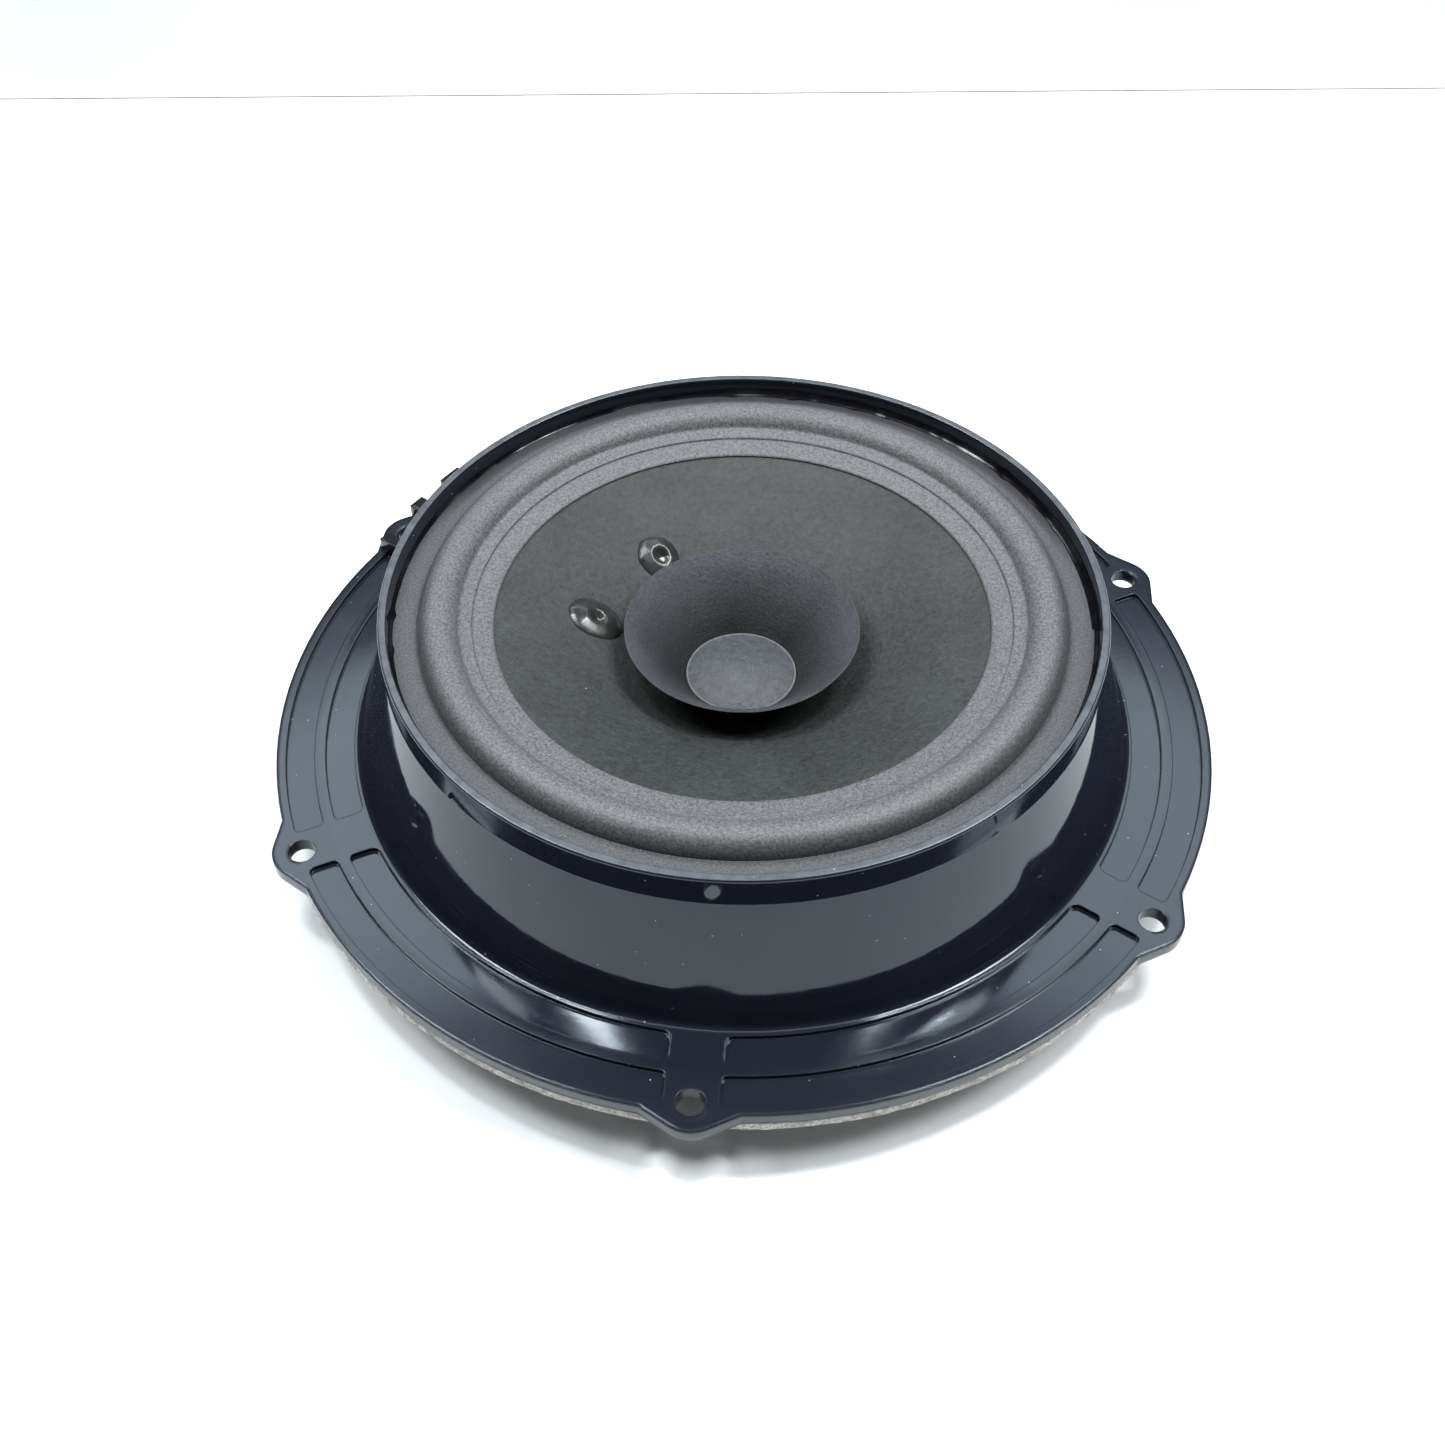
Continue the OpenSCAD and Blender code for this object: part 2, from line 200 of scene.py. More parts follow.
class Shader:
    """One procedural material, built up from short calls. Places are in metres."""

    def __init__(self, name, roughness=0.5, metallic=0.0, specular=0.5):
        self.material = bpy.data.materials.new(name)
        self.material.use_nodes = True
        self.tree = self.material.node_tree
        self.tree.nodes.clear()
        out = self.tree.nodes.new("ShaderNodeOutputMaterial")
        self.surface = self.tree.nodes.new("ShaderNodeBsdfPrincipled")
        self.tree.links.new(self.surface.outputs["BSDF"], out.inputs["Surface"])
        self.surface.inputs["Roughness"].default_value = roughness
        self.surface.inputs["Metallic"].default_value = metallic
        self.surface.inputs["Specular IOR Level"].default_value = specular
        self.place = self.tree.nodes.new("ShaderNodeTexCoord").outputs["Object"]

    def node(self, kind, inputs=None, **settings):
        made = self.tree.nodes.new(kind)
        for key, value in settings.items():
            setattr(made, key, value)
        for key, value in (inputs or {}).items():
            if isinstance(value, bpy.types.NodeSocket):
                self.tree.links.new(value, made.inputs[key])
            else:
                made.inputs[key].default_value = value
        return made

    def math(self, operation, a, b=0.0, clamp=False):
        return self.node("ShaderNodeMath", {0: a, 1: b}, operation=operation,
                         use_clamp=clamp).outputs[0]

    def noise(self, scale, detail=2.0, roughness=0.5, place=None):
        return self.node("ShaderNodeTexNoise", {"Vector": place or self.place, "Scale": scale,
                         "Detail": detail, "Roughness": roughness}).outputs["Fac"]

    def cells(self, scale, output="Distance", place=None):
        return self.node("ShaderNodeTexVoronoi", {"Vector": place or self.place,
                         "Scale": scale}).outputs[output]

    def ramp(self, value, low, high, dark=0.0, bright=1.0):
        """The value from low..high mapped to dark..bright, and held at the ends."""
        return self.node("ShaderNodeMapRange", {"Value": value, "From Min": low, "From Max": high,
                         "To Min": dark, "To Max": bright}).outputs["Result"]

    def blend(self, factor, a, b):
        """A mix of two colours."""
        made = self.node("ShaderNodeMix", data_type="RGBA")
        for socket, value in ((made.inputs[0], factor), (made.inputs[6], a), (made.inputs[7], b)):
            if isinstance(value, bpy.types.NodeSocket):
                self.tree.links.new(value, socket)
            elif isinstance(value, (int, float)):
                socket.default_value = value
            else:
                socket.default_value = (*value, 1)
        return made.outputs[2]

    def scaled(self, place, scales):
        """A place with a scale of its own on each axis."""
        return self.node("ShaderNodeVectorMath", {0: place, 1: scales},
                         operation="MULTIPLY").outputs[0]

    def radius(self):
        """Distance from the loudspeaker's axis, in metres."""
        return self.node("ShaderNodeVectorMath", {0: self.scaled(self.place, (1, 1, 0))},
                         operation="LENGTH").outputs["Value"]

    def axes(self):
        """The x, y and z of the place."""
        return self.node("ShaderNodeSeparateXYZ", {0: self.place}).outputs

    def polar(self, stretch):
        """(angle times stretch, radius, height), for grain that runs round the axis."""
        x, y, z = self.axes()
        angle = self.math("MULTIPLY", self.math("ARCTAN2", y, x), stretch)
        return self.node("ShaderNodeCombineXYZ", {0: angle, 1: self.radius(), 2: z}).outputs[0]

    def fibres(self, stretch, scales, detail, roughness):
        """Noise drawn out along the angle, the radius or the height."""
        return self.noise(1.0, detail, roughness, place=self.scaled(self.polar(stretch), scales))

    def bumps(self, heights, bevel=0.0):
        """Bump from a list of (height, distance in metres), over edges rounded by a bevel."""
        normal = None
        if bevel:
            normal = self.node("ShaderNodeBevel", {"Radius": bevel}, samples=6).outputs[0]
        for height, distance in heights:
            inputs = {"Height": height, "Distance": distance, "Strength": 1.0}
            if normal:
                inputs["Normal"] = normal
            normal = self.node("ShaderNodeBump", inputs).outputs[0]
        self.tree.links.new(normal, self.surface.inputs["Normal"])

    def set(self, **values):
        """Links or sets the surface's inputs; an underscore stands for a space."""
        for key, value in values.items():
            socket = self.surface.inputs[key.replace("_", " ")]
            if isinstance(value, bpy.types.NodeSocket):
                self.tree.links.new(value, socket)
            elif isinstance(value, tuple):
                socket.default_value = (*value, 1)
            else:
                socket.default_value = value


def specks(s, scale, size, share):
    """White dust: 1 on small dots, in a share of the cells."""
    near = s.math("LESS_THAN", s.cells(scale), size)
    chosen = s.node("ShaderNodeSeparateColor", {0: s.cells(scale, "Color")}).outputs[0]
    return s.math("MULTIPLY", near, s.math("LESS_THAN", chosen, share))


def gloss_plastic(name, tint):
    """Moulded black plastic: mirror-like on the upright walls, satin on the flange and the lip.

    The flange's inner channel is a little glossier than the rest of the flange. The lip is paler,
    partly from rubbed wear and partly from painted sheen.
    """
    lip_z, wall_z = (0.05715, 0.05728), (0.0200, 0.0215)
    channel_start, channel_end = (0.0915, 0.0925), (0.1005, 0.1015)
    outer_edge = (0.1097, 0.1104)
    s = Shader(name, specular=0.5)
    height = s.axes()[2]
    radius = s.radius()
    dust = s.math("ADD", specks(s, 520, 0.07, 0.10), specks(s, 230, 0.032, 0.12), clamp=True)
    lip = s.ramp(height, *lip_z)
    # The lip's paler colour is partly rubbed wear and partly painted sheen
    rub_and_sheen = s.math("MULTIPLY", lip, s.ramp(s.noise(260, 4, 0.7), 0.35, 0.7, 0.4, 1))
    upper = s.ramp(height, *wall_z)
    low = s.math("SUBTRACT", 1.0, upper)
    channel = s.math("MULTIPLY", low, s.math("MULTIPLY", s.ramp(radius, *channel_start),
                                             s.ramp(radius, *channel_end, 1, 0)))
    dull = s.math("ADD", s.ramp(upper, 0, 1, 0.15, 0.04), s.math("MULTIPLY", lip, 0.3))
    dull = s.math("SUBTRACT", dull, s.math("MULTIPLY", channel, 0.06))
    rough = s.math("ADD", dull, s.math("MULTIPLY", s.ramp(s.noise(55, 4, 0.6), 0.42, 0.75), 0.05))
    rough = s.math("ADD", rough, s.math("MULTIPLY", dust, 0.5), clamp=True)
    worn_and_sheen = s.blend(s.math("MULTIPLY", rub_and_sheen, 0.8), tint, (0.10, 0.105, 0.115))
    s.set(Base_Color=s.blend(s.math("MULTIPLY", dust, 0.5), worn_and_sheen, (0.75, 0.76, 0.78)),
          Roughness=rough, Specular_Tint=(0.84, 0.93, 1.0))
    soft_edge = s.ramp(radius, *outer_edge, 0.00035, 0.0014)
    s.bumps([(s.noise(28, 1), 0.00008), (s.noise(900, 2), 0.000003), (dust, 0.00003)],
            bevel=soft_edge)
    return s.material


def foam():
    """Open-cell foam, grey with a touch of brown."""
    s = Shader("foam", roughness=0.95, specular=0.15)
    pores = s.cells(1400)
    coarse = s.noise(420, 4, 0.7)
    shade = s.math("MULTIPLY", s.ramp(pores, 0.1, 0.6), s.ramp(coarse, 0.3, 0.62))
    s.set(Base_Color=s.blend(shade, (0.23, 0.22, 0.195), (0.62, 0.60, 0.55)))
    s.bumps([(coarse, 0.0004), (pores, 0.0003)])
    return s.material


def surround_cloth():
    """Coated cloth with a salt-and-pepper grain. Past the roll it is painted darker as shade, and
    it is darker still on the band by the rim at the back.
    """
    past_roll, outer_band, back_half = (0.0698, 0.0724), (0.0738, 0.0768), (0.0, 0.035)
    s = Shader("surround_cloth", roughness=0.5, specular=0.36)
    radius = s.radius()
    grain = s.noise(4200, 2, 0.6)
    coarse = s.noise(1700, 2, 0.5)
    cloudy = s.noise(60, 3)
    mixed = s.math("ADD", s.math("MULTIPLY", grain, 0.5), s.math("MULTIPLY", coarse, 0.5))
    shade = s.math("MULTIPLY", s.ramp(mixed, 0.37, 0.65), s.ramp(cloudy, 0.3, 0.7, 0.9, 1.0))
    cloth = s.blend(shade, (0.044, 0.046, 0.049), (0.150, 0.155, 0.163))
    # Painted shade on the roll's outer flank and on the flat below the rim
    outside = s.math("MULTIPLY", s.ramp(radius, *past_roll), 0.5)
    # Darker on the band by the rim, on the back half only
    darker_back_band = s.math("MULTIPLY", s.ramp(radius, *outer_band), s.ramp(s.axes()[1], *back_half))
    dark = s.math("MAXIMUM", outside, s.math("MULTIPLY", darker_back_band, 0.88))
    s.set(Base_Color=s.blend(dark, cloth, (0.012, 0.012, 0.015)))
    s.bumps([(coarse, 0.00008), (grain, 0.00005)])
    return s.material


def cone_paper():
    """Pressed paper pulp, dark grey with a green cast and short fibres."""
    s = Shader("cone_paper", roughness=0.52, specular=0.4)
    pulp = s.noise(700, 5, 0.7)
    blotch = s.noise(38, 4, 0.6)
    fibre = s.fibres(0.03, (9000, 900, 900), 3, 0.65)
    shade = s.math("ADD", s.math("MULTIPLY", pulp, 0.5), s.math("MULTIPLY", blotch, 0.3))
    shade = s.ramp(s.math("ADD", shade, s.math("MULTIPLY", fibre, 0.2)), 0.36, 0.64)
    dust = specks(s, 300, 0.06, 0.04)
    tint = s.blend(shade, (0.010, 0.0120, 0.0115), (0.041, 0.0455, 0.0445))
    s.set(Base_Color=s.blend(s.math("MULTIPLY", dust, 0.5), tint, (0.6, 0.6, 0.58)))
    s.bumps([(pulp, 0.00034), (fibre, 0.00016)])
    return s.material


def whizzer_paper():
    """Harder pressed paper, dark grey-blue, with painted shade down its throat, and paler at its
    cut edge.
    """
    throat, cut_edge = (0.0145, 0.0262), (0.02670, 0.02682)
    s = Shader("whizzer_paper", roughness=0.5, specular=0.5)
    fibre = s.fibres(0.02, (12000, 1100, 700), 4, 0.7)
    pulp = s.noise(1200, 4, 0.6)
    blotch = s.noise(60, 3)
    shade = s.math("ADD", s.math("MULTIPLY", fibre, 0.4), s.math("MULTIPLY", pulp, 0.3))
    shade = s.ramp(s.math("ADD", shade, s.math("MULTIPLY", blotch, 0.3)), 0.38, 0.62)
    body = s.blend(shade, (0.022, 0.025, 0.029), (0.064, 0.070, 0.081))
    # Painted shade: the paper goes near black down the throat
    painted_throat_shade = s.ramp(s.radius(), *throat, 0.97, 0)
    body = s.blend(painted_throat_shade, body, (0.004, 0.004, 0.005))
    edge = s.math("MULTIPLY", s.ramp(s.radius(), *cut_edge), 0.12)
    dust = s.math("MULTIPLY", specks(s, 340, 0.07, 0.03), 0.5)
    s.set(Base_Color=s.blend(dust, s.blend(edge, body, (0.17, 0.175, 0.19)), (0.6, 0.6, 0.6)))
    s.bumps([(pulp, 0.00016), (fibre, 0.00014)])
    return s.material


def felt():
    """Soft felted cap, mid grey, with a paler pressed ring round its edge."""
    pressed_ring = (0.01248, 0.01258)
    s = Shader("felt", roughness=0.42, specular=0.5)
    s.set(Sheen_Weight=0.08, Sheen_Roughness=0.5)
    fuzz = s.noise(2400, 5, 0.75)
    clump = s.noise(520, 3, 0.6)
    shade = s.ramp(s.math("ADD", s.math("MULTIPLY", fuzz, 0.5), s.math("MULTIPLY", clump, 0.5)),
                   0.35, 0.65)
    body = s.blend(shade, (0.014, 0.017, 0.020), (0.054, 0.060, 0.068))
    ring = s.math("MULTIPLY", s.ramp(s.radius(), *pressed_ring), 0.3)
    s.set(Base_Color=s.blend(ring, body, (0.20, 0.205, 0.22)))
    s.bumps([(clump, 0.00030), (fuzz, 0.00020)])
    return s.material


def glue(name, tint, roughness, ripple, gloss):
    """Dried glue with small bubbles and a wavy skin. gloss is its least and most specular level."""
    s = Shader(name)
    wave = s.noise(260, 3, 0.55)
    wet = s.ramp(s.noise(75, 2), 0.50, 0.62, *gloss)
    bubble = s.ramp(s.cells(1100), 0.0, 0.22, 1, 0)
    some = s.ramp(s.noise(300, 1), 0.55, 0.65)
    bubble = s.math("MULTIPLY", bubble, some)
    s.set(Base_Color=s.blend(s.ramp(wave, 0.35, 0.7), tint, tuple(2.2 * c for c in tint)),
          Roughness=s.ramp(s.noise(180, 3), 0.3, 0.7, roughness, roughness + 0.14),
          Specular_IOR_Level=wet)
    s.bumps([(wave, ripple), (bubble, 0.00006)])
    return s.material


def metal(name, tint, roughness, ring_scale, scratch=0.00001):
    """Turned or plated metal with fine rings and a mottled finish."""
    s = Shader(name, metallic=1.0)
    rings = s.fibres(0.02, (60, ring_scale, ring_scale), 3, 0.7)
    spangle = s.noise(220, 4, 0.6)
    dim = tuple(0.62 * c for c in tint)
    s.set(Base_Color=s.blend(s.ramp(spangle, 0.3, 0.7), dim, tint),
          Roughness=s.ramp(rings, 0.3, 0.7, roughness - 0.08, roughness + 0.1))
    s.bumps([(rings, scratch), (spangle, 0.00002)], bevel=0.0003)
    return s.material


def ferrite():
    """Pressed and ground ferrite, matt charcoal with pits."""
    s = Shader("ferrite", roughness=0.62, specular=0.4)
    grain = s.noise(1500, 4, 0.7)
    pits = s.ramp(s.cells(500), 0.0, 0.16, 0, 1)
    shade = s.math("MULTIPLY", s.ramp(grain, 0.3, 0.7), pits)
    s.set(Base_Color=s.blend(shade, (0.020, 0.020, 0.022), (0.075, 0.076, 0.080)))
    s.bumps([(grain, 0.00006), (pits, 0.00008)], bevel=0.0005)
    return s.material


def woven(name, low, high, pitch):
    """Open plain weave in x and y, stiffened with resin."""
    s = Shader(name, roughness=0.55, specular=0.4)
    x, y, _ = s.axes()
    wave_x = s.math("SINE", s.math("MULTIPLY", x, TURN / pitch))
    wave_y = s.math("SINE", s.math("MULTIPLY", y, TURN / pitch))
    over = s.math("MULTIPLY", wave_x, wave_y)
    threads = s.math("MAXIMUM", s.math("ABSOLUTE", wave_x), s.math("ABSOLUTE", wave_y))
    stain = s.noise(70, 4)
    shade = s.math("MULTIPLY", s.ramp(threads, 0.4, 1.0), s.ramp(stain, 0.3, 0.7, 0.6, 1))
    s.set(Base_Color=s.blend(shade, low, high))
    s.bumps([(threads, 0.00015), (over, 0.00008)])
    return s.material


def winding_wire():
    """Enamelled copper wire, turn beside turn."""
    wire_pitch = 0.0002
    s = Shader("winding_wire", metallic=1.0)
    turns = s.math("SINE", s.math("MULTIPLY", s.axes()[2], TURN / wire_pitch))
    patch = s.noise(200, 3)
    s.set(Base_Color=s.blend(s.ramp(patch, 0.3, 0.7), (0.42, 0.16, 0.07), (0.70, 0.31, 0.15)),
          Roughness=s.ramp(patch, 0.3, 0.7, 0.24, 0.38))
    s.bumps([(turns, 0.00006)])
    return s.material


def film():
    """Amber film of the coil former."""
    s = Shader("former_film", specular=0.5)
    cloud = s.noise(150, 4)
    s.set(Base_Color=s.blend(cloud, (0.30, 0.14, 0.035), (0.52, 0.28, 0.09)),
          Roughness=s.ramp(cloud, 0.3, 0.7, 0.25, 0.4))
    s.bumps([(cloud, 0.00005)])
    return s.material


def braid_wire():
    """Copper tinsel, dulled, with dark gaps between its strands."""
    s = Shader("braid_wire", metallic=0.9)
    strand = s.noise(2600, 3, 0.6)
    s.set(Base_Color=s.blend(s.ramp(strand, 0.35, 0.65), (0.20, 0.09, 0.04), (0.66, 0.36, 0.20)),
          Roughness=s.ramp(strand, 0.3, 0.7, 0.35, 0.55))
    s.bumps([(strand, 0.00008)])
    return s.material


BLACK = (0.0085, 0.0100, 0.0155)
MATERIALS = {
    "basket_plastic": gloss_plastic("basket_plastic", BLACK),
    "housing_plastic": gloss_plastic("housing_plastic", (0.012, 0.013, 0.014)),
    "foam": foam(),
    "steel": metal("plated_steel", (0.50, 0.50, 0.50), 0.34, 1600),
    "ferrite": ferrite(),
    "screw": metal("screw_steel", (0.56, 0.55, 0.52), 0.3, 900),
    "surround_cloth": surround_cloth(),
    "black_glue": glue("black_glue", (0.003, 0.003, 0.004), 0.16, 0.00008, (0.03, 0.6)),
    "dot_glue": glue("dot_glue", (0.013, 0.013, 0.013), 0.20, 0.00010, (0.4, 0.6)),
    "spider_cloth": woven("spider_weave", (0.16, 0.10, 0.04), (0.62, 0.46, 0.22), 0.0009),
    "cone_paper": cone_paper(),
    "whizzer_paper": whizzer_paper(),
    "felt": felt(),
    "former_film": film(),
    "copper": winding_wire(),
    "terminal_metal": metal("tinned_brass", (0.62, 0.56, 0.40), 0.28, 700),
    "lead_braid": braid_wire(),
}


def dress(piece, slot, body=None, replaces=()):
    """Gives a new piece its slot's material and its body, and hides the CAD nodes it stands for."""
    piece.data.materials.append(MATERIALS[slot])
    if body:
        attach(piece, body)
    if replaces:
        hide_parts(*replaces)
    return piece


def dress_cad_nodes():
    """Every CAD node takes its slot's material."""
    slots = {row["node"]: row["material_slot"] for row in frame["record"]["subparts"]}
    for name, node in frame["nodes"].items():
        for place in node.material_slots:
            place.material = MATERIALS[slots[name]]
    # Large flat faces keep straight reflections right up to the fillets beside them
    flats = frame["nodes"]["basket"].modifiers.new("flat_faces", "WEIGHTED_NORMAL")
    flats.mode = "FACE_AREA"
    flats.weight = 90


# ---------------------------------------------------------------------------
# Camera, floor and light
# ---------------------------------------------------------------------------

def make_camera():
    """The photo's view, fitted to the outlines of the rim, the flange and the holes."""
    data = bpy.data.cameras.new("camera")
    data.sensor_width = 36.0
    data.lens = 42.63
    data.shift_x = 0.02376
    data.shift_y = -0.00638
    camera = bpy.data.objects.new("camera", data)
    camera.location = (0.02430, -0.28230, 0.32102)
    camera.rotation_mode = "QUATERNION"
    camera.rotation_quaternion = (0.929107, 0.365342, 0.028294, 0.049857)
    bpy.context.scene.collection.objects.link(camera)
    bpy.context.scene.camera = camera


def area_light(name, place, size, power, tint, target=(0, 0, 0)):
    """A rectangular light in metres and watts, turned to its target."""
    data = bpy.data.lights.new(name, "AREA")
    data.shape = "RECTANGLE"
    data.size, data.size_y = size
    data.energy = power
    data.color = tint
    light = bpy.data.objects.new(name, data)
    light.location = place
    light.rotation_euler = (Vector(target) - Vector(place)).to_track_quat("-Z", "Y").to_euler()
    bpy.context.scene.collection.objects.link(light)


def make_stage():
    """A white table and a pale strip far behind, in millimetres."""
    s = Shader("table", roughness=0.6, specular=0.2)
    s.set(Base_Color=s.blend(s.ramp(s.noise(14, 4), 0.3, 0.7),
                             (0.77, 0.80, 0.815), (0.81, 0.83, 0.845)))
    s.bumps([(s.noise(250, 3), 0.00004)])
    h = 1500.0
    floor = mesh_object("table", [(-h, -h, 0), (h, -h, 0), (h, h, 0), (-h, h, 0)], [(0, 1, 2, 3)])
    floor.location.z = -0.0002
    floor.data.materials.append(s.material)

    s = Shader("far_strip", roughness=0.7, specular=0.2)
    s.set(Base_Color=s.blend(s.ramp(s.noise(6, 3), 0.3, 0.7),
                             (0.43, 0.44, 0.44), (0.48, 0.49, 0.49)))
    near, far, slant, strip_z = 345, 1400, 0.098, 0.2
    corners = [(-1000, near - slant * 1000, strip_z), (1000, near + slant * 1000, strip_z),
               (900, far, strip_z), (-1100, far, strip_z)]
    strip = mesh_object("far_strip", corners, [(0, 1, 2, 3)])
    strip.data.materials.append(s.material)


def make_lights():
    """Soft studio light.

    The flange's inner channel mirrors the collar's wall, and the wall mirrors what is almost
    straight overhead. So the two top and two far lamps give the four streaks in the channel, and
    the place straight overhead stays dark. The two back panels light the flange's sides.
    """
    world = bpy.data.worlds.new("studio")
    world.use_nodes = True
    world.node_tree.nodes["Background"].inputs["Color"].default_value = (0.86, 0.93, 1.0, 1)
    world.node_tree.nodes["Background"].inputs["Strength"].default_value = 0.10
    bpy.context.scene.world = world
    lamp, cool = (0.97, 0.985, 1.0), (0.88, 0.95, 1.0)
    area_light("top_left", (-0.43, 0.12, 1.25), (0.10, 0.30), 7.8, lamp)
    area_light("top_right", (0.445, 0.13, 1.25), (0.10, 0.30), 12.5, lamp)
    area_light("far_left", (-0.54, 0.36, 1.22), (0.07, 0.16), 0.9, lamp)
    area_light("far_right", (0.53, 0.37, 1.22), (0.07, 0.16), 0.9, lamp)
    area_light("front_top", (0.0, -0.32, 1.25), (0.8, 0.3), 2.5, lamp)
    area_light("side_left", (-0.75, 0.0, 1.05), (0.35, 0.35), 9, lamp)
    area_light("side_right", (0.75, 0.0, 1.05), (0.35, 0.35), 9, lamp)
    area_light("back_left", (-0.40, 0.70, 0.98), (0.75, 0.34), 3.4, cool, (0, -0.05, 0))
    area_light("back_right", (0.32, 0.74, 0.98), (0.75, 0.34), 3.0, cool, (0, -0.05, 0))
    bpy.context.scene.view_settings.view_transform = "Standard"


# ---------------------------------------------------------------------------
# Soft parts of the front
# ---------------------------------------------------------------------------

def make_surround():
    """Half roll with a flat outside it, and an inner flange pressed in two steps."""
    flat_z = LEDGE_Z + SURROUND_T
    front = [(79.3, flat_z), (77, flat_z), (75, flat_z), (73.95, flat_z), (73.65, flat_z - 0.16)]
    front += arc((ROLL_R, ROLL_Z), ROLL_RADIUS, 4, 155, 44)
    front += [(64.30, 53.98), (64.05, 53.78), (63.6, 53.62), (62.6, 53.32), (61.9, 53.14)]
    front += [(61.48, 53.04), (61.32, 52.94), (61.22, 52.46), (61.05, 52.38), (60.6, 52.30)]
    front += [(59.5, 52.02), (58, 51.66), (57, 51.40), (56.66, 51.22), (56.5, 50.95)]
    # 0.1 mm thinner than in CAD
    piece = revolve("surround_cloth", shell(front, SURROUND_T - 0.1), 360, smooth_angle=50)
    dress(piece, "surround_cloth", replaces=["surround"])
    blend_round(piece)


def make_surround_glue():
    """Smooth fillet of glue between the surround and the rim, with a few lumps and a wavy edge."""
    # (angle in degrees, size)
    lumps = ((25, 0.9), (41, 1.3), (68, 0.8), (74, 1.0), (86, 1.2), (97, 1.1), (188, 1.6),
             (196, 1.0))
    # How far each point of the outline follows the bead's reach inwards and its climb
    reach_share = np.array([1, 1, 0.75, 0.5, 0.28, 0.1, 0, 0, 0])
    climb_share = np.array([0, 0, 0.05, 0.15, 0.35, 0.65, 1, 0, 0])

    def change(section, angle):
        degrees = math.degrees(angle)
        heavy = float(smoothstep(-25, 10, degrees if degrees < 300 else degrees - 360)
                      * (1 - smoothstep(92, 112, degrees)))
        slow = wander(angle, 5, 4.2)
        fine = wander(angle, 30, 1.7)
        lump = sum(size * math.exp(-((degrees - place) / 1.1) ** 2) for place, size in lumps)
        reach = 0.62 * heavy + 0.16 * slow + 0.05 * fine + 0.35 * lump
        climb = 0.55 * heavy + 0.20 * slow + 0.05 * fine + 0.25 * lump
        section[:, 0] -= reach_share * reach
        section[:, 1] += climb_share * max(climb, -0.5)
        return section

    outline = [(79.02, 52.80), (79.00, 52.94), (79.12, 53.02), (79.24, 53.12), (79.36, 53.27),
               (79.47, 53.50), (79.58, 53.95), (79.58, 53.2), (79.5, 52.80)]
    piece = revolve("surround_bead", outline, 1080, change, 80)
    dress(piece, "black_glue", CHASSIS, ["surround_glue"])


CONE_FRONT = np.array(spline(CONE_PATH[:-1], 8) + [CONE_PATH[-1]])


def cone_height(x, y):
    """Height of the cone's front face above a point, in millimetres."""
    return float(np.interp(math.hypot(x, y), CONE_FRONT[:, 0], CONE_FRONT[:, 1]))


def make_cone():
    """Main cone, along the same path as in CAD."""
    piece = revolve("cone_shell", shell(CONE_FRONT, CONE_T), 360)
    dress(piece, "cone_paper", CONE_BODY, ["cone"])


def make_whizzer():
    """Flared second cone. Its cut edge is a little uneven, as on the real paper."""

    def change(section, angle):
        lift = smoothstep(22, 27, section[:, 0])
        section[:, 1] += lift * 0.22 * wander(angle, 3.0, 5.5)
        section[:, 0] += lift * 0.14 * wander(angle, 2.2, 8.5)
        return section

    paper = 0.42
    front = spline([(26.85, 46.72), (25.3, 45.25), (23.6, 43.62), (21.3, 41.2), (19, 38.62),
                    (16, 34.9), (14, 32.3), (13.15, 31.15)], 6)
    piece = revolve("whizzer_cone", shell(front, paper), 360, change, 50)
    dress(piece, "whizzer_paper", CONE_BODY, ["whizzer"])


def make_dust_cap():
    """Low felt dome inside a raised, flattened ring."""
    ring = [(13.0, 31.05), (12.97, 31.40), (12.85, 31.50), (12.65, 31.50), (12.52, 31.36)]
    edge_r, edge_z, top, felt_t = 12.45, 31.28, 34.45, 0.5
    dome = []
    for t in np.linspace(0.03, 1, 26):
        r = edge_r * math.cos(t * math.pi / 2)
        dome.append((r, edge_z + (top - edge_z) * (1 - (r / edge_r) ** 2) ** 0.95))
    back = [(0.0, top - felt_t)] + [(r, z - felt_t) for r, z in dome[-2::-1]] + [(12.5, 31.0)]
    piece = revolve("dust_cap_felt", ring + dome + back, 240, smooth_angle=60)
    dress(piece, "felt", CONE_BODY, ["dust_cap"])


def dot_axes(side, drift=0.0):
    """Unit vectors outwards and across at a glue dot: side 1 or -1 of the terminals."""
    turn = math.radians(TERMINAL_ANGLE + side * DOT_ANGLE + drift)
    out = np.array([math.cos(turn), math.sin(turn)])
    return out, np.array([-out[1], out[0]])


def make_glue_dot(side, reach, drift, name, node):
    """Mound of glue over a lead's joint, with a pit where the wire comes through."""
    out, across = dot_axes(side, drift)
    middle = out * DOT_R

    def top(rho, theta):
        ragged = 1 + 0.05 * wander(theta, 1.6, 3.0 + side)
        along, wide = math.cos(theta), math.sin(theta)
        long = 1.18 if along < 0 else 0.98
        x, y = middle + reach * rho * ragged * (along * long * out + wide * across)
        crown = 1.95 * (1 - rho ** 2.2) ** 0.8
        px, py = rho * along * reach + 0.9, rho * wide * reach - side * 0.3
        pit = 1.5 * math.exp(-((px / 1.25) ** 2 + (py / 1.5) ** 2) ** 1.15)
        lip = 0.22 * math.exp(-((math.hypot(px, py) - 2.2) / 0.7) ** 2)
        wave = 0.10 * noise.noise(Vector((x * 0.4, y * 0.4, 2.0 + side)))
        return x, y, cone_height(x, y) + crown - pit + (lip + wave) * (1 - rho)

    def bottom(x, y):
        return x, y, cone_height(x, y) - 0.25

    piece = heightfield(name, 40, 96, top, bottom, tuple(middle))
    dress(piece, "dot_glue", CONE_BODY, [node])


